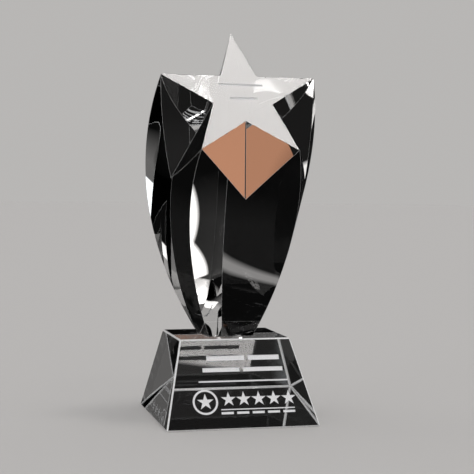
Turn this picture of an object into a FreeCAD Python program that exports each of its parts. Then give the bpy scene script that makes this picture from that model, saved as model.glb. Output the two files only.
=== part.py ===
"""Star trophy in clear optical crystal: a five-edged star column bonded to a sloped base.

The award stands on z = 0 with its origin at the middle of the base's underside.
+Z is up, -Y is the front with the engraved base face, and +X is to the right.

The column is a five-sided blank whose section changes from a small foot to a large pentagon
in a plane that faces forwards and up. Ten flat facets cut five V-shaped notches into it and
leave a five-pointed star on the top. The two beside the upright arm stand square to that plane,
and the other eight run through one point above it.
"""
import FreeCAD, Part
import math
import os
import Sketcher

doc = FreeCAD.newDocument("star_trophy")

# ---------------------------------------------------------------- driving dimensions (mm, degrees)
SIZES = {
    # base block
    "base_width": 100.0,
    "base_depth": 100.0,
    "base_height": 54.0,
    "side_inset": 13.3,         # how far each side leans in over the height
    "back_inset": 13.3,
    "front_inset": 26.8,
    "edge_bevel": 0.9,          # polished bevel on every edge of the block
    # cured adhesive between the two crystals
    "bond_gap": 0.3,
    # foot of the column, a pentagon with one corner to the back
    "foot_back": 28.8,
    "foot_side_out": 17.7,
    "foot_side_back": 12.4,
    "foot_front_out": 14.8,
    "foot_front_forward": 10.4,
    # two pentagon sections between the foot and the star
    "lower_radius": 44.5,
    "lower_squash": 0.88,
    "lower_forward": -4.8,
    "lower_rise": 100.0,
    "lower_tilt": 27.2,
    "upper_radius": 58.6,
    "upper_squash": 0.83,
    "upper_forward": 11.0,
    "upper_rise": 155.0,
    "upper_tilt": 40.8,
    # the star on the slanted top
    "star_radius": 53.0,
    "star_forward": 34.2,
    "star_rise": 210.0,
    "star_slope": 53.9,
    # the point where eight of the ten notch facets meet, above the middle of the star
    "facet_reach": 33.3,
    "facet_lean": 19.7,
    # shallow engraving
    "mark_depth": 0.3,
    "mark_waist": 0.382,        # inner over outer radius of an engraved star
    "mark_middle": 2.5,         # to the right of the middle of the front face
    "badge_radius": 8.2,
    "badge_ring": 1.3,
    "badge_left": 26.2,         # badge's middle, to the left of the marks' middle
    "badge_rise": 18.4,         # up the slope from the base's lower edge
    "merit_radius": 5.0,        # each of the five small stars
    "merit_left": 11.1,         # the first one's middle
    "merit_pitch": 9.9,
    "merit_rise": 19.8,
}

sheet = doc.addObject("Spreadsheet::Sheet", "Sizes")
for row, (alias, value) in enumerate(SIZES.items(), start=1):
    sheet.set(f"A{row}", alias)
    sheet.set(f"B{row}", str(value))
    sheet.setAlias(f"B{row}", alias)
doc.recompute()


def cell(alias):
    """The expression that reads one cell of the sheet."""
    return f"Sizes.{alias}"


# ---------------------------------------------------------------- helpers for bodies and sketches
def new_body(label):
    body = doc.addObject("PartDesign::Body", label)
    body.Label = label
    return body


def origin_plane(body, role):
    return next(f for f in body.Origin.OriginFeatures if f.Role == role)


def new_sketch(body, name, plane="XY_Plane", forward="0", rise="0", tilt=None, across="0"):
    """A sketch on one of the body's own planes, moved and tilted about X by bound values."""
    sketch = body.newObject("Sketcher::SketchObject", name)
    sketch.AttachmentSupport = [(origin_plane(body, plane), "")]
    sketch.MapMode = "FlatFace"
    if tilt is not None:
        turn = FreeCAD.Rotation(FreeCAD.Vector(1, 0, 0), 1.0)
        sketch.AttachmentOffset = FreeCAD.Placement(FreeCAD.Vector(), turn)
        sketch.setExpression("AttachmentOffset.Rotation.Angle", tilt)
    # an XY sketch is placed by y and z; an XZ sketch looks along +Y, so its own z runs forwards
    second, third = (f"-({forward})", rise) if plane == "XY_Plane" else (rise, forward)
    for axis, expression in (("x", across), ("y", second), ("z", third)):
        if expression not in ("0", "-(0)"):
            sketch.setExpression(f"AttachmentOffset.Base.{axis}", expression)
    doc.recompute()
    return sketch


def pin(sketch, geometry, end, x, y):
    """Fix a point of the sketch at bound distances from the sketch's origin."""
    for kind, expression, axis_line in (("DistanceX", x, -2), ("DistanceY", y, -1)):
        value = float(sketch.evalExpression(expression))
        if abs(value) < 1e-9:
            sketch.addConstraint(Sketcher.Constraint("PointOnObject", geometry, end, axis_line))
            continue
        rule = Sketcher.Constraint(kind, -1, 1, geometry, end, value)
        number = sketch.addConstraint(rule)
        sketch.setExpression(f"Constraints[{number}]", expression)


def polygon(sketch, corners):
    """A closed outline whose corners are given as pairs of expressions."""
    first = sketch.GeometryCount
    count = len(corners)
    points = [FreeCAD.Vector(*(float(sketch.evalExpression(e)) for e in corner), 0)
              for corner in corners]
    for i in range(count):
        sketch.addGeometry(Part.LineSegment(points[i], points[(i + 1) % count]))
    for i in range(count):
        follower = first + (i + 1) % count
        sketch.addConstraint(Sketcher.Constraint("Coincident", first + i, 2, follower, 1))
    for i, (x, y) in enumerate(corners):
        pin(sketch, first + i, 1, x, y)


def circle(sketch, radius, x="0", y="0"):
    middle = FreeCAD.Vector(*(float(sketch.evalExpression(e)) for e in (x, y)), 0)
    size = float(sketch.evalExpression(radius))
    ring = sketch.addGeometry(Part.Circle(middle, FreeCAD.Vector(0, 0, 1), size))
    number = sketch.addConstraint(Sketcher.Constraint("Radius", ring, size))
    sketch.setExpression(f"Constraints[{number}]", radius)
    pin(sketch, ring, 3, x, y)


def pentagon(radius, squash="1"):
    """Five corners, one to the back, clockwise from it; squash shortens it from front to back."""
    return [(f"{radius} * cos({angle})", f"{radius} * {squash} * sin({angle})")
            for angle in (90, 18, -54, -126, 162)]


def star(radius, waist, x="0", y="0"):
    """Ten corners of a five-pointed star with one point up."""
    corners = []
    for arm in range(5):
        for offset, reach in ((0, radius), (-36, f"{radius} * {waist}")):
            angle = 90 - 72 * arm + offset
            corners.append((f"{x} + {reach} * cos({angle})", f"{y} + {reach} * sin({angle})"))
    return corners


def loft(body, name, sections):
    feature = body.newObject("PartDesign::AdditiveLoft", name)
    feature.Profile = sections[0]
    feature.Sections = sections[1:]
    doc.recompute()
    return feature


def pocket(body, name, sketch, depth):
    """Cut a sketch into the body, and make sure that it really took something away."""
    before = body.Shape.Volume
    feature = body.newObject("PartDesign::Pocket", name)
    feature.Profile = sketch
    feature.setExpression("Length", depth)
    doc.recompute()
    if not body.Shape.Volume < before:
        raise RuntimeError(f"{name} cut nothing")
    return feature


def bevel_every_edge(body, size):
    rough = body.Tip
    feature = body.newObject("PartDesign::Chamfer", "edge_bevels")
    feature.Base = (rough, [f"Edge{i + 1}" for i in range(len(rough.Shape.Edges))])
    feature.setExpression("Size", size)
    doc.recompute()


# ---------------------------------------------------------------- base block
def bar(sketch, left, right, rise, height):
    """A plain engraved bar; sizes are plain numbers along the face, in mm."""
    low, high = rise - height / 2, rise + height / 2
    corners = [(left, low), (right, low), (right, high), (left, high)]
    polygon(sketch, [(str(x), str(y)) for x, y in corners])


def make_base():
    body = new_body("base_block")
    block = body.newObject("PartDesign::AdditiveWedge", "block")
    block.AttachmentSupport = [(origin_plane(body, "XZ_Plane"), "")]
    block.MapMode = "FlatFace"
    # the wedge narrows along its own Y, which stands up here, and its own Z runs forwards
    half_width, half_depth = f"{cell('base_width')} / 2", f"{cell('base_depth')} / 2"
    for size, expression in {
        "Xmin": f"-{half_width}", "Xmax": half_width,
        "X2min": f"-({half_width} - {cell('side_inset')})",
        "X2max": f"{half_width} - {cell('side_inset')}",
        "Ymin": "0", "Ymax": cell("base_height"),
        "Zmin": f"-{half_depth}", "Zmax": half_depth,
        "Z2min": f"-({half_depth} - {cell('back_inset')})",
        "Z2max": f"{half_depth} - {cell('front_inset')}",
    }.items():
        block.setExpression(size, expression)
    doc.recompute()
    bevel_every_edge(body, cell("edge_bevel"))

    face = dict(plane="XZ_Plane", forward=f"{cell('base_depth')} / 2",
                tilt=f"-atan({cell('front_inset')} / {cell('base_height')})",
                across=cell("mark_middle"))
    lines = new_sketch(body, "engraved_lines", **face)
    # two lines of two bars each, a long rule, and a short rule with five dashes below it
    for left, right, rise, height in ((-23.0, 2.0, 47.3, 3.2), (4.2, 25.1, 47.3, 3.2),
                                      (-26.2, -1.9, 39.5, 2.8), (0.5, 26.7, 39.5, 2.8),
                                      (-29.4, 29.4, 31.8, 1.0), (-16.4, 31.9, 13.2, 0.7)):
        bar(lines, left, right, rise, height)
    for dash in range(5):
        left = round(-16.4 + 10.1 * dash, 1)
        bar(lines, left, left + 7.9, 10.9, 1.5)
    pocket(body, "line_engraving", lines, cell("mark_depth"))

    badge = new_sketch(body, "engraved_badge", **face)
    place = (f"-{cell('badge_left')}", cell("badge_rise"))
    circle(badge, cell("badge_radius"), *place)
    circle(badge, f"{cell('badge_radius')} - {cell('badge_ring')}", *place)
    waist = cell("mark_waist")
    polygon(badge, star(f"({cell('badge_radius')} - 2 * {cell('badge_ring')})", waist, *place))
    pocket(body, "badge_engraving", badge, cell("mark_depth"))

    merit = new_sketch(body, "engraved_star", **face)
    polygon(merit, star(cell("merit_radius"), waist, f"-{cell('merit_left')}",
                        cell("merit_rise")))
    first = pocket(body, "star_engraving", merit, cell("mark_depth"))
    row = body.newObject("PartDesign::LinearPattern", "star_row")
    row.Originals = [first]
    row.Direction = (merit, ["H_Axis"])
    row.Occurrences = 5
    row.setExpression("Length", f"4 * {cell('merit_pitch')}")
    body.Tip = row
    doc.recompute()
    return body


# ---------------------------------------------------------------- column and bond
def foot_corners():
    """The foot's pentagon, in the same order as pentagon()."""
    side, side_back = cell("foot_side_out"), cell("foot_side_back")
    front, front_forward = cell("foot_front_out"), cell("foot_front_forward")
    return [("0", cell("foot_back")), (side, side_back), (front, f"-{front_forward}"),
            (f"-{front}", f"-{front_forward}"), (f"-{side}", side_back)]


def make_bond():
    body = new_body("bond_film")
    outline = new_sketch(body, "bond_outline", rise=cell("base_height"))
    polygon(outline, foot_corners())
    pad = body.newObject("PartDesign::Pad", "bond_layer")
    pad.Profile = outline
    pad.setExpression("Length", cell("bond_gap"))
    doc.recompute()
    return body


def make_blank():
    """The five-sided blank, with the slanted top that the star is cut on."""
    body = new_body("column_blank")
    foot = new_sketch(body, "foot", rise=f"{cell('base_height')} + {cell('bond_gap')}")
    polygon(foot, foot_corners())
    sections = [foot]
    for name in ("lower", "upper"):
        section = new_sketch(body, f"{name}_section", forward=cell(f"{name}_forward"),
                             rise=cell(f"{name}_rise"), tilt=cell(f"{name}_tilt"))
        polygon(section, pentagon(cell(f"{name}_radius"), cell(f"{name}_squash")))
        sections.append(section)
    plane = dict(forward=cell("star_forward"), rise=cell("star_rise"), tilt=cell("star_slope"))
    top = new_sketch(body, "star_plane", **plane)
    polygon(top, pentagon(cell("star_radius")))
    loft(body, "blank", sections + [top])

    marks = new_sketch(body, "engraved_top", **plane)
    for left, right, rise in ((-14.0, 15.0, 9.2), (-8.0, 10.0, -2.0)):
        bar(marks, left, right, rise, 1.6)
    pocket(body, "top_engraving", marks, cell("mark_depth"))
    return body


def make_star_cutter():
    """A ten-sided star-shaped solid with flat faces, which all the notch facets lie on.

    It is a Part::Feature because a loft between star sections gives these faces as curved
    surfaces, and its corners are read from the sheet.
    """
    size = {alias: sheet.get(alias) for alias in SIZES}
    lean, slope = math.radians(size["facet_lean"]), math.radians(size["star_slope"])
    middle = FreeCAD.Vector(0, -size["star_forward"], size["star_rise"])
    to_meeting_point = FreeCAD.Vector(0, -math.sin(lean), math.cos(lean)) * size["facet_reach"]
    uphill = FreeCAD.Vector(0, math.cos(slope), math.sin(slope))
    outward = FreeCAD.Vector(0, -math.sin(slope), math.cos(slope))
    half_point = math.radians(18)       # half the angle at the tip of an arm
    waist = math.sin(half_point) / math.sin(3 * half_point)     # opposite arm edges line up

    def outline(scale):
        """The star's outline, scaled from the point where the facets meet."""
        corners = []
        for i in range(10):
            reach = scale * size["star_radius"] * (waist if i % 2 else 1)
            angle = math.radians(90 - 36 * i)
            across = FreeCAD.Vector(math.cos(angle), 0, 0) * reach
            corners.append(middle + to_meeting_point * (1 - scale)
                           + across + uphill * math.sin(angle) * reach)
        # the upright arm's own facets don't spread
        depth = (corners[0] - middle).dot(outward)
        corners[0] = middle + uphill * size["star_radius"] + outward * depth
        for i, side in ((1, 1), (9, -1)):
            corners[i].x = side * (corners[0] - corners[i]).dot(uphill) * math.tan(half_point)
        return corners

    above, below = outline(0.75), outline(6.6)
    rings = [above, below] + [[above[i], above[(i + 1) % 10], below[(i + 1) % 10], below[i]]
                              for i in range(10)]
    faces = [Part.Face(Part.makePolygon(ring + ring[:1])) for ring in rings]
    cutter = doc.addObject("Part::Feature", "star_cutter")
    solid = Part.Solid(Part.Shell(faces))
    if solid.Volume < 0:
        solid.reverse()
    cutter.Shape = solid
    return cutter


def make_column():
    column = doc.addObject("Part::Common", "star_column")
    column.Base = make_blank()
    column.Tool = make_star_cutter()
    column.Label = "star_column"
    doc.recompute()
    return column


# ---------------------------------------------------------------- build, check, write
parts = [make_base(), make_bond(), make_column()]
doc.recompute()

for item in doc.Objects:
    if any(state in ("Invalid", "Error") for state in item.State):
        raise RuntimeError(f"{item.Name} failed: {item.State}")

os.makedirs("parts", exist_ok=True)
for part in parts:
    shape = part.Shape
    if shape.isNull() or not shape.isValid() or not shape.Solids:
        raise RuntimeError(f"{part.Label} has no valid solid")
    shape.exportStep(f"parts/{part.Label}.step")
    box = shape.BoundBox
    print(f"{part.Label}: {len(shape.Solids)} solid, {shape.Volume / 1000:.1f} cm3,",
          f"z {box.ZMin:.2f} to {box.ZMax:.2f}, x {box.XMin:.2f} to {box.XMax:.2f},",
          f"y {box.YMin:.2f} to {box.YMax:.2f}")
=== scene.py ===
"""Star trophy: clear crystal column with a slanted star, bonded to an engraved crystal block."""
import math

import bmesh
import bpy
from mathutils import Matrix, Vector


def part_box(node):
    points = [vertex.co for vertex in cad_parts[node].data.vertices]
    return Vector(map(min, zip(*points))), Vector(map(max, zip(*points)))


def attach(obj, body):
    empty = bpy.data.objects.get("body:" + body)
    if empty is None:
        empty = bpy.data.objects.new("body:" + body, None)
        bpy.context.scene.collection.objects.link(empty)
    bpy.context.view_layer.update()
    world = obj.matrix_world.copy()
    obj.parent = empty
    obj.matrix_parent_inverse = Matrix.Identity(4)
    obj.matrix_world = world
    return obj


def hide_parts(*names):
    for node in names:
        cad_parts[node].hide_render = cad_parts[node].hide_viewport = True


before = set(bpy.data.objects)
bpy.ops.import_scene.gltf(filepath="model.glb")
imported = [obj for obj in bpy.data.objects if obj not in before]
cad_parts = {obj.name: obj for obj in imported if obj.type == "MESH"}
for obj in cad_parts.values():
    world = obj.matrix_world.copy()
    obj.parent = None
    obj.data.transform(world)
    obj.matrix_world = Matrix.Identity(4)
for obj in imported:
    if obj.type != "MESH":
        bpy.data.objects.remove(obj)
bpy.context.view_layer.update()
MM = 0.001

BASE_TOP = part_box("base_block")[1].z / MM
FILM_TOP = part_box("bond_film")[1].z / MM


# ---------------------------------------------------------------- materials
CLEAR, FROST, BOND, ARRIS = range(4)        # the material slots of both crystals
CRYSTAL_INDEX = 1.52


def set_inputs(node, **values):
    """Set a node's constants; a name has _ where the input's own name has a space."""
    for name, value in values.items():
        node.inputs[name.replace("_", " ")].default_value = value


def new_material(name, kind="ShaderNodeBsdfPrincipled", **values):
    """A material of one shader, and the tree that the rest of it goes in."""
    material = bpy.data.materials.new(name)
    material.use_nodes = True
    tree = material.node_tree
    tree.nodes.clear()
    shader = tree.nodes.new(kind)
    set_inputs(shader, **values)
    output = tree.nodes.new("ShaderNodeOutputMaterial")
    tree.links.new(shader.outputs[0], output.inputs["Surface"])
    return material, tree, shader


def noise(tree, scale, detail):
    """Noise that stays fixed to the object."""
    place = tree.nodes.new("ShaderNodeTexCoord")
    grain = tree.nodes.new("ShaderNodeTexNoise")
    set_inputs(grain, Scale=scale, Detail=detail)
    tree.links.new(place.outputs["Object"], grain.inputs["Vector"])
    return grain.outputs["Fac"]


def vary_roughness(tree, shader, factor, **limits):
    """Roughness that follows the noise between two limits."""
    spread = tree.nodes.new("ShaderNodeMapRange")
    set_inputs(spread, **limits)
    tree.links.new(factor, spread.inputs["Value"])
    tree.links.new(spread.outputs["Result"], shader.inputs["Roughness"])


def crystal(name):
    """Polished optical crystal with faint haze from handling and polishing."""
    material, tree, glass = new_material(name, Base_Color=(0.985, 0.99, 0.99, 1),
                                         IOR=CRYSTAL_INDEX, Transmission_Weight=1.0)
    vary_roughness(tree, glass, noise(tree, 22.0, 3.0),
                   From_Min=0.5, From_Max=0.8, To_Min=0.0, To_Max=0.006)
    return material


def ground(name):
    """The narrow ground flat along an edge: white and a little clear, with a fine grain."""
    material, tree, skin = new_material(name, Base_Color=(1, 1, 1, 1),
                                        IOR=CRYSTAL_INDEX, Transmission_Weight=0.1)
    vary_roughness(tree, skin, noise(tree, 900.0, 2.0), To_Min=0.1, To_Max=0.4)
    return material


def frosted(name, white):
    """Sandblasted glass: white and matt, with a fine grain."""
    material, tree, skin = new_material(name, Roughness=0.7)
    grain = noise(tree, 2500.0, 2.0)
    tint = tree.nodes.new("ShaderNodeValToRGB")
    for stop, position, colour in zip(tint.color_ramp.elements, (0.3, 0.7),
                                      ((white * 0.8, white * 0.8, white * 0.82, 1),
                                       (white, white, white, 1))):
        stop.position = position
        stop.color = colour
    bump = tree.nodes.new("ShaderNodeBump")
    set_inputs(bump, Strength=0.3, Distance=0.1 * MM)
    tree.links.new(grain, tint.inputs["Fac"])
    tree.links.new(grain, bump.inputs["Height"])
    tree.links.new(tint.outputs["Color"], skin.inputs["Base Color"])
    tree.links.new(bump.outputs["Normal"], skin.inputs["Normal"])
    return material


def bonded(name):
    """A face bonded to crystal of the same index, which light passes without bending."""
    return new_material(name, "ShaderNodeBsdfTransparent", Color=(1, 1, 1, 1))[0]


def film_material(name):
    """Clear adhesive: its edge shows, and its two bonded faces don't."""
    material, tree, mix = new_material(name, "ShaderNodeMixShader")
    edge = tree.nodes.new("ShaderNodeBsdfPrincipled")
    set_inputs(edge, Base_Color=(0.97, 0.98, 0.97, 1), IOR=1.5, Roughness=0.15,
               Transmission_Weight=1.0)
    face = tree.nodes.new("ShaderNodeBsdfTransparent")
    set_inputs(face, Color=(1, 1, 1, 1))
    geometry = tree.nodes.new("ShaderNodeNewGeometry")
    split = tree.nodes.new("ShaderNodeSeparateXYZ")
    upright = tree.nodes.new("ShaderNodeMath")
    upright.operation = "ABSOLUTE"
    flat = tree.nodes.new("ShaderNodeMath")
    flat.operation = "GREATER_THAN"
    flat.inputs[1].default_value = 0.9
    tree.links.new(geometry.outputs["True Normal"], split.inputs["Vector"])
    tree.links.new(split.outputs["Z"], upright.inputs[0])
    tree.links.new(upright.outputs[0], flat.inputs[0])
    tree.links.new(flat.outputs[0], mix.inputs[0])
    tree.links.new(edge.outputs["BSDF"], mix.inputs[1])
    tree.links.new(face.outputs["BSDF"], mix.inputs[2])
    return material


bond_face = bonded("bonded_face")
column_materials = [crystal("column_crystal"), frosted("column_frost", 0.75), bond_face,
                    ground("column_arris")]
base_materials = [crystal("base_crystal"), frosted("base_frost", 0.97), bond_face,
                  ground("base_arris")]


# ---------------------------------------------------------------- mesh helpers
def new_object(name, mesh):
    piece = bpy.data.objects.new(name, mesh)
    bpy.context.scene.collection.objects.link(piece)
    return piece


def mesh_from(name, points, faces, materials=()):
    mesh = bpy.data.meshes.new(name)
    mesh.from_pydata([tuple(p) for p in points], [], faces)
    for material in materials:
        mesh.materials.append(material)
    bm = bmesh.new()
    bm.from_mesh(mesh)
    bmesh.ops.recalc_face_normals(bm, faces=bm.faces)
    bm.to_mesh(mesh)
    bm.free()
    return new_object(name, mesh)


def prism(name, outline, direction):
    """A closed solid: a flat outline and its copy, moved along a vector."""
    count = len(outline)
    points = list(outline) + [p + direction for p in outline]
    sides = [(i, (i + 1) % count, count + (i + 1) % count, count + i) for i in range(count)]
    return mesh_from(name, points, [tuple(range(count)), tuple(range(count, 2 * count))] + sides)


def combine(piece, tool, operation):
    """Apply an exact boolean and remove its tool."""
    step = piece.modifiers.new("cut", "BOOLEAN")
    step.operation = operation
    step.solver = "EXACT"
    step.object = tool
    apply_modifiers(piece)
    bpy.data.objects.remove(tool)


def apply_modifiers(piece):
    bpy.context.view_layer.update()
    graph = bpy.context.evaluated_depsgraph_get()
    mesh = bpy.data.meshes.new_from_object(piece.evaluated_get(graph))
    piece.modifiers.clear()
    piece.data = mesh


def join_as_one(name, pieces):
    """Several separate solids as one tool."""
    bm = bmesh.new()
    for piece in pieces:
        bm.from_mesh(piece.data)
        bpy.data.objects.remove(piece)
    mesh = bpy.data.meshes.new(name)
    bm.to_mesh(mesh)
    bm.free()
    return new_object(name, mesh)


def chamfer(piece, width, angle):
    """Narrow flats along every edge sharper than the angle, in their own material slot."""
    step = piece.modifiers.new("arris", "BEVEL")
    step.width = width
    step.segments = 1
    step.material = ARRIS
    step.limit_method = "ANGLE"
    step.angle_limit = math.radians(angle)
    step.use_clamp_overlap = True
    step.miter_outer = "MITER_SHARP"
    apply_modifiers(piece)


def weld(piece, distance):
    """Merge corners closer than the distance, and remove the slivers between them."""
    bm = bmesh.new()
    bm.from_mesh(piece.data)
    bmesh.ops.remove_doubles(bm, verts=bm.verts, dist=distance)
    bmesh.ops.dissolve_degenerate(bm, edges=bm.edges, dist=distance)
    bm.to_mesh(piece.data)
    bm.free()


def shade(piece, sharp_angle):
    """Smooth shading that keeps every edge sharper than the angle."""
    piece.data.shade_smooth()
    piece.data.set_sharp_from_angle(angle=math.radians(sharp_angle))


# ---------------------------------------------------------------- the column's sections, in mm
STAR_RADIUS, STAR_TILT = 53.0, math.radians(53.9)
STAR_WAIST = 0.382                      # inner over outer radius
HALF_POINT = math.radians(18)           # half the angle of a star's point
STAR_MIDDLE = Vector((0, -34.2, 210.0))
FACET_REACH, FACET_LEAN = 33.3, math.radians(19.7)      # to where the notch facets meet
CUT_ABOVE, CUT_BELOW = 0.75, 6.6        # the cutter's two ends, as scales of the star
COLUMN_ARRIS, COLUMN_ARRIS_ANGLE = 0.6, 18
MARK_DEPTH, MARK_CLEARANCE = 0.3, 2.0   # how deep a mark goes, and its cutter's full depth
STAR_LINES = ((-14.0, 15.0, 9.2), (-8.0, 10.0, -2.0))   # left, right and rise on the star
STAR_LINE_HALF = 0.8
WELD = 0.005
SHARP_ANGLE = 12


def pentagon_section(radius, squash, forward, rise, tilt):
    """Five corners, one to the back, in a plane tilted about X."""
    tilt = math.radians(tilt)
    corners = []
    for angle in (90, 18, -54, -126, 162):
        x = radius * math.cos(math.radians(angle))
        up = radius * squash * math.sin(math.radians(angle))
        corners.append(Vector((x, -forward + up * math.cos(tilt), rise + up * math.sin(tilt))))
    return corners


FOOT = [Vector((x, y, FILM_TOP)) for x, y in
        ((0, 28.8), (17.7, 12.4), (14.8, -10.4), (-14.8, -10.4), (-17.7, 12.4))]
SECTIONS = [FOOT,
            pentagon_section(44.5, 0.88, -4.8, 100.0, 27.2),
            pentagon_section(58.6, 0.83, 11.0, 155.0, 40.8),
            pentagon_section(STAR_RADIUS, 1.0, 34.2, 210.0, math.degrees(STAR_TILT))]
KNOTS = (0.0, 0.3037, 0.6477, 1.0)      # where along the loft each section lies


def corner_point(corner, t):
    """A point on one long edge of the blank: the cubic through the four sections' corners."""
    point = Vector()
    for i, knot in enumerate(KNOTS):
        weight = 1.0
        for j, other in enumerate(KNOTS):
            if j != i:
                weight *= (t - other) / (knot - other)
        point += SECTIONS[i][corner] * weight
    return point


def make_blank(rings=110, columns=8):
    """The blank's mesh: five ruled faces between the long edges, and two flat ends."""
    points, faces = [], []
    around = 5 * columns
    for ring in range(rings + 1):
        corners = [corner_point(c, ring / rings) for c in range(5)]
        for side in range(5):
            for k in range(columns):
                points.append(corners[side].lerp(corners[(side + 1) % 5], k / columns) * MM)
    for ring in range(rings):
        for i in range(around):
            j = (i + 1) % around
            faces.append((ring * around + i, ring * around + j,
                          (ring + 1) * around + j, (ring + 1) * around + i))
    faces.append(tuple(range(around)))
    faces.append(tuple(range(rings * around, (rings + 1) * around)))
    return mesh_from("crystal_column", points, faces, column_materials)


def star_outline(scale):
    """The star on the slanted top, scaled from the point where the notch facets meet."""
    meeting = Vector((0, -math.sin(FACET_LEAN), math.cos(FACET_LEAN))) * FACET_REACH
    uphill = Vector((0, math.cos(STAR_TILT), math.sin(STAR_TILT)))
    corners = []
    for i in range(10):
        reach = scale * STAR_RADIUS * (STAR_WAIST if i % 2 else 1)
        angle = math.radians(90 - 36 * i)
        across = Vector((math.cos(angle), 0, 0)) * reach
        corners.append(STAR_MIDDLE + meeting * (1 - scale) + across
                       + uphill * math.sin(angle) * reach)
    # the upright arm's own facets stand square to the star
    outward = Vector((0, -math.sin(STAR_TILT), math.cos(STAR_TILT)))
    depth = (corners[0] - STAR_MIDDLE).dot(outward)
    corners[0] = STAR_MIDDLE + uphill * STAR_RADIUS + outward * depth
    for i, side in ((1, 1), (9, -1)):
        corners[i].x = side * (corners[0] - corners[i]).dot(uphill) * math.tan(HALF_POINT)
    return [corner * MM for corner in corners]


def make_column():
    column = make_blank()
    above, below = star_outline(CUT_ABOVE), star_outline(CUT_BELOW)
    sides = [(i, (i + 1) % 10, 10 + (i + 1) % 10, 10 + i) for i in range(10)]
    cutter = mesh_from("star_cutter", above + below,
                       [tuple(range(10)), tuple(range(10, 20))] + sides)
    combine(column, cutter, "INTERSECT")
    chamfer(column, COLUMN_ARRIS * MM, COLUMN_ARRIS_ANGLE)
    # two faint engraved lines on the star
    up = Vector((0, math.cos(STAR_TILT), math.sin(STAR_TILT)))
    outward = Vector((0, -math.sin(STAR_TILT), math.cos(STAR_TILT)))
    bars = []
    for left, right, rise in STAR_LINES:
        bottom = STAR_MIDDLE - outward * MARK_DEPTH
        outline = [(bottom + Vector((x, 0, 0)) + up * (rise + side * STAR_LINE_HALF)) * MM
                   for x, side in ((left, -1), (right, -1), (right, 1), (left, 1))]
        bars.append(prism("bar", outline, outward * MARK_CLEARANCE * MM))
    combine(column, join_as_one("bars", bars), "DIFFERENCE")
    weld(column, WELD * MM)
    shade(column, SHARP_ANGLE)
    return column, outward


# ---------------------------------------------------------------- the base block, in mm
BASE_HALF, SIDE_INSET, BACK_INSET, FRONT_INSET = 50.0, 13.3, 13.3, 26.8
FACE_TILT = math.atan2(FRONT_INSET, BASE_TOP)
FACE_UP = Vector((0, math.sin(FACE_TILT), math.cos(FACE_TILT)))
FACE_OUT = Vector((0, -math.cos(FACE_TILT), math.sin(FACE_TILT)))
BASE_ARRIS, BASE_ARRIS_ANGLE = 0.9, 10
FOOT_STEP = 0.01        # how far the top under the film lies below the rest
# marks on the front face, as distances along it from its middle and its lower edge
MARK_MIDDLE = 2.5
BARS = ((-23.0, 2.0, 47.3, 3.2), (4.2, 25.1, 47.3, 3.2),        # left, right, rise and height
        (-26.2, -1.9, 39.5, 2.8), (0.5, 26.7, 39.5, 2.8),
        (-29.4, 29.4, 31.8, 1.0), (-16.4, 31.9, 13.2, 0.7))
ROW_COUNT = 5
DASH_LEFT, DASH_LENGTH, DASH_PITCH, DASH_RISE, DASH_HEIGHT = -16.4, 7.9, 10.1, 10.9, 1.5
ROW_STAR_LEFT, ROW_STAR_PITCH, ROW_STAR_RISE, ROW_STAR_RADIUS = -11.1, 9.9, 19.8, 5.0
BADGE_X, BADGE_RISE, BADGE_STAR, BADGE_OUTER, BADGE_INNER = -26.2, 18.4, 5.6, 8.2, 6.9


def face_point(x, rise):
    """A point on the sloped front face, from distances along it."""
    return Vector((MARK_MIDDLE + x, -BASE_HALF, 0)) + FACE_UP * rise


def star_points(x, rise, radius):
    corners = []
    for i in range(10):
        reach = radius * (STAR_WAIST if i % 2 else 1)
        angle = math.radians(90 - 36 * i)
        corners.append(face_point(x + reach * math.cos(angle), rise + reach * math.sin(angle)))
    return corners


def sunk(name, outline):
    """A cutter that engraves an outline of the front face."""
    return prism(name, [(p - FACE_OUT * MARK_DEPTH) * MM for p in outline],
                 FACE_OUT * MARK_CLEARANCE * MM)


def ring_tool(x, rise, outer, inner, steps=48):
    """A cutter for a ring: a square-sided tube, sunk in the front face."""
    points, faces = [], []
    for depth in (-MARK_DEPTH, 1.5):
        for radius in (outer, inner):
            for i in range(steps):
                angle = 2 * math.pi * i / steps
                point = face_point(x + radius * math.cos(angle), rise + radius * math.sin(angle))
                points.append((point + FACE_OUT * depth) * MM)
    for i in range(steps):
        j = (i + 1) % steps
        faces += [(i, j, steps + j, steps + i),
                  (2 * steps + i, 2 * steps + j, 3 * steps + j, 3 * steps + i),
                  (i, j, 2 * steps + j, 2 * steps + i),
                  (steps + i, steps + j, 3 * steps + j, 3 * steps + i)]
    return mesh_from("ring", points, faces)


def make_block():
    """The block: four sloped sides, the front one sloped twice as far."""
    half = BASE_HALF
    around = ((-1, -1), (1, -1), (1, 1), (-1, 1))
    low = [Vector((x * half, y * half, 0)) for x, y in around]
    high = [Vector((x * (half - SIDE_INSET), FRONT_INSET - half if y < 0 else half - BACK_INSET,
                    BASE_TOP)) for x, y in around]
    sides = [(i, (i + 1) % 4, 4 + (i + 1) % 4, 4 + i) for i in range(4)]
    return mesh_from("crystal_base", [p * MM for p in low + high],
                     [(0, 1, 2, 3), (4, 5, 6, 7)] + sides, base_materials)


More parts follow.
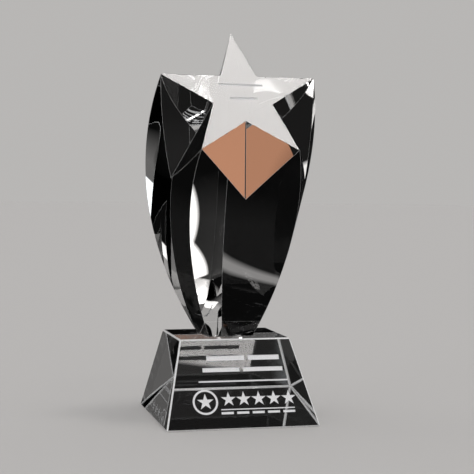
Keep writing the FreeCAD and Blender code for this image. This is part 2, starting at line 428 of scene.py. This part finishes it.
def make_base():
    base = make_block()
    chamfer(base, BASE_ARRIS * MM, BASE_ARRIS_ANGLE)

    dashes = [(DASH_LEFT + DASH_PITCH * i, DASH_LEFT + DASH_LENGTH + DASH_PITCH * i,
               DASH_RISE, DASH_HEIGHT) for i in range(ROW_COUNT)]
    cutters = [sunk("bar", [face_point(x, rise + side * height / 2)
                            for x, side in ((left, -1), (right, -1), (right, 1), (left, 1))])
               for left, right, rise, height in list(BARS) + dashes]
    cutters += [sunk("star", star_points(ROW_STAR_LEFT + ROW_STAR_PITCH * i, ROW_STAR_RISE,
                                         ROW_STAR_RADIUS)) for i in range(ROW_COUNT)]
    cutters.append(sunk("badge_star", star_points(BADGE_X, BADGE_RISE, BADGE_STAR)))
    cutters.append(ring_tool(BADGE_X, BADGE_RISE, BADGE_OUTER, BADGE_INNER))
    combine(base, join_as_one("marks", cutters), "DIFFERENCE")

    # where the film sits, the top is a face of its own
    foot = [Vector((p.x, p.y, BASE_TOP - FOOT_STEP)) * MM for p in FOOT]
    combine(base, prism("foot", foot, Vector((0, 0, MM))), "DIFFERENCE")
    shade(base, SHARP_ANGLE)
    return base


column, star_normal = make_column()
base = make_base()


def assign(piece, is_mark, is_bond):
    """Put the engraved and the bonded faces, picked by place and direction, in their slots."""
    for face in piece.data.polygons:
        if is_bond(face.center / MM, face.normal):
            face.material_index = BOND
        elif is_mark(face.center / MM):
            face.material_index = FROST


def sunken(point, surface, outward):
    """Whether a point lies under a surface by no more than a mark's depth."""
    return 0.02 < (surface - point).dot(outward) < MARK_DEPTH + 0.01


def on_star_line(centre):
    return (sunken(centre, STAR_MIDDLE, star_normal) and abs(centre.x) < 16
            and (centre - STAR_MIDDLE).length < 18)


def on_front_mark(centre):
    return (sunken(centre, Vector((0, -BASE_HALF, 0)), FACE_OUT) and abs(centre.x) < 36
            and 5 < centre.z < 50)


assign(column, on_star_line,
       lambda centre, normal: centre.z < FILM_TOP + 0.01 and normal.z < -0.99)
assign(base, on_front_mark,
       lambda centre, normal: abs(centre.z - (BASE_TOP - FOOT_STEP)) < FOOT_STEP / 2
       and normal.z > 0.99)
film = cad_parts["bond_film"]
film.data.materials.clear()
film.data.materials.append(film_material("bond_adhesive"))

for piece, node, slot in ((column, "star_column", "column_crystal"),
                          (base, "base_block", "base_crystal")):
    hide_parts(node)
    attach(piece, "root")


# ---------------------------------------------------------------- stage
FLOOR_RADIUS, FLOOR_DROP = 12.0, 0.0002        # metres


def make_floor():
    """A plain pale floor, which the crystal neither reflects nor refracts."""
    mesh = bpy.data.meshes.new("floor")
    bm = bmesh.new()
    bmesh.ops.create_circle(bm, cap_ends=True, radius=FLOOR_RADIUS, segments=96)
    bm.to_mesh(mesh)
    bm.free()
    floor = new_object("floor", mesh)
    floor.location.z = -FLOOR_DROP
    paper = new_material("floor_paper", Base_Color=(0.53, 0.52, 0.51, 1), Roughness=0.9,
                         Specular_IOR_Level=0.0)[0]
    floor.data.materials.append(paper)
    floor.visible_transmission = False
    floor.visible_glossy = False


make_floor()


# ---------------------------------------------------------------- world
WARM, NEUTRAL, COOL = (1.0, 0.47, 0.27), (1.0, 0.97, 0.95), (0.92, 0.97, 1.0)
# The studio that the crystal reflects and refracts: soft light overhead and in front, and
# soft-edged cards in a dark room. Angles are in degrees: azimuth (0 behind the trophy, 90 to its
# right, 180 in front), elevation, half width, half height, turn and edge softness; then strength
# and tint.
SOFTBOXES = (
    (0, 75, 200, 25, 0, 6, 0.4, NEUTRAL),           # soft light all round overhead
    (180, 22, 105, 30, 0, 16, 0.15, NEUTRAL),       # soft light in the front half of the room
    (130, 70, 14, 5, 0, 2, 13, NEUTRAL),            # overhead key, which whitens the star
    (160, 48, 6, 2, 0, 0.2, 6, NEUTRAL),            # card above the camera, for the base's front
    (170, 30, 6, 3, -20, 1, 2, NEUTRAL),            # small light above the camera
    (115, 50, 2, 13, 10, 1, 2.5, NEUTRAL),          # tall strip, right
    (-122, 18, 4, 11, 33, 1, 1.6, COOL),            # tall strip, left
    (-70, 52, 12, 5, 0, 1, 1.2, NEUTRAL),           # overhead, left
    (35, 5, 2, 4, 0, 0.5, 1.6, NEUTRAL),            # rim lights, behind on the right
    (39, 11, 4.5, 2, 35, 0.5, 1.6, NEUTRAL),
    (-2.5, 11, 4, 0.6, 53, 0.6, 0.25, NEUTRAL),     # narrow strip behind
    (-72, -55, 18, 1.5, 0, 0.5, 4, NEUTRAL),        # low strip, left
    (-15, -10, 1.5, 1.5, 0, 0.3, 1, NEUTRAL),       # low card behind
    (6, -7, 6.5, 5, 0, 2.5, 0.46, WARM),            # warm cards behind, below the star
    (22.5, -9, 5, 4, 0, 2.5, 0.55, WARM),
)
DARK_ROOM = (0.003, 0.003, 0.003)
SOFT_BELOW, SOFT_ABOVE = (0.60, 0.59, 0.58), (0.95, 0.95, 0.96)     # what matt surfaces see
BACKDROP = (0.48, 0.47, 0.46)                       # what the camera sees beyond the floor


def make_world():
    """Soft pale light for matt surfaces, a pale backdrop, and the studio for the crystal."""
    world = bpy.data.worlds.new("studio")
    world.use_nodes = True
    bpy.context.scene.world = world
    tree = world.node_tree
    tree.nodes.clear()
    links = tree.links

    def math_node(operation, *values, clamp=False):
        node = tree.nodes.new("ShaderNodeMath")
        node.operation = operation
        node.use_clamp = clamp
        for slot, value in enumerate(values):
            if isinstance(value, (int, float)):
                node.inputs[slot].default_value = value
            else:
                links.new(value, node.inputs[slot])
        return node.outputs[0]

    def blend_colour(factor, first, second, kind="MIX"):
        node = tree.nodes.new("ShaderNodeMix")
        node.data_type = "RGBA"
        node.blend_type = kind
        for value, name in ((factor, 0), (first, 6), (second, 7)):
            if isinstance(value, (int, float)):
                node.inputs[name].default_value = value
            elif isinstance(value, tuple):
                node.inputs[name].default_value = value + (1,)
            else:
                links.new(value, node.inputs[name])
        return node.outputs[2]

    split = tree.nodes.new("ShaderNodeSeparateXYZ")
    links.new(tree.nodes.new("ShaderNodeTexCoord").outputs["Generated"], split.inputs[0])
    x, y, z = split.outputs
    azimuth = math_node("DEGREES", math_node("ARCTAN2", x, y))
    elevation = math_node("DEGREES", math_node("ARCSINE", z))

    light = DARK_ROOM
    for mid_a, mid_e, half_w, half_h, turn, soft, strength, tint in SOFTBOXES:
        across = math_node("WRAP", math_node("SUBTRACT", azimuth, mid_a), 180.0, -180.0)
        above = math_node("SUBTRACT", elevation, mid_e)
        cosine, sine = math.cos(math.radians(turn)), math.sin(math.radians(turn))
        mask = None
        for first, second, half in ((cosine, sine, half_w), (-sine, cosine, half_h)):
            offset = math_node("ADD", math_node("MULTIPLY", across, first),
                               math_node("MULTIPLY", above, second))
            edge = math_node("MULTIPLY_ADD", math_node("ABSOLUTE", offset), -1 / soft,
                             half / soft + 0.5, clamp=True)
            mask = edge if mask is None else math_node("MULTIPLY", mask, edge)
        light = blend_colour(mask, light, tuple(strength * part for part in tint), "ADD")

    path = tree.nodes.new("ShaderNodeLightPath")
    soft_light = blend_colour(math_node("MULTIPLY_ADD", z, 0.5, 0.5), SOFT_BELOW, SOFT_ABOVE)
    scattered = math_node("GREATER_THAN", path.outputs["Diffuse Depth"], 0.5)
    shown = blend_colour(scattered, light, soft_light)
    shown = blend_colour(path.outputs["Is Camera Ray"], shown, BACKDROP)
    background = tree.nodes.new("ShaderNodeBackground")
    links.new(shown, background.inputs["Color"])
    output = tree.nodes.new("ShaderNodeOutputWorld")
    links.new(background.outputs[0], output.inputs["Surface"])


make_world()


# ---------------------------------------------------------------- camera
SENSOR_WIDTH, LENS = 36.0, 94.06
YAW, PITCH, ROLL = (math.radians(angle) for angle in (13.88, 2.23, 0.52))
TARGET = Vector((6.15, 0, 119.04)) * MM
DISTANCE = 824.34 * MM


def make_camera():
    data = bpy.data.cameras.new("camera")
    data.sensor_width = SENSOR_WIDTH
    data.lens = LENS
    data.clip_start, data.clip_end = 0.01, 50
    camera = new_object("camera", data)
    ahead = Vector((math.sin(YAW) * math.cos(PITCH), math.cos(YAW) * math.cos(PITCH),
                    -math.sin(PITCH)))
    right = Vector((math.cos(YAW), -math.sin(YAW), 0))
    up = right.cross(ahead)
    across = right * math.cos(ROLL) + up * math.sin(ROLL)
    above = up * math.cos(ROLL) - right * math.sin(ROLL)
    turn = Matrix((across, above, -ahead)).transposed().to_4x4()
    camera.matrix_world = Matrix.Translation(TARGET - ahead * DISTANCE) @ turn
    bpy.context.scene.camera = camera


make_camera()
bpy.context.scene.view_settings.view_transform = "Standard"
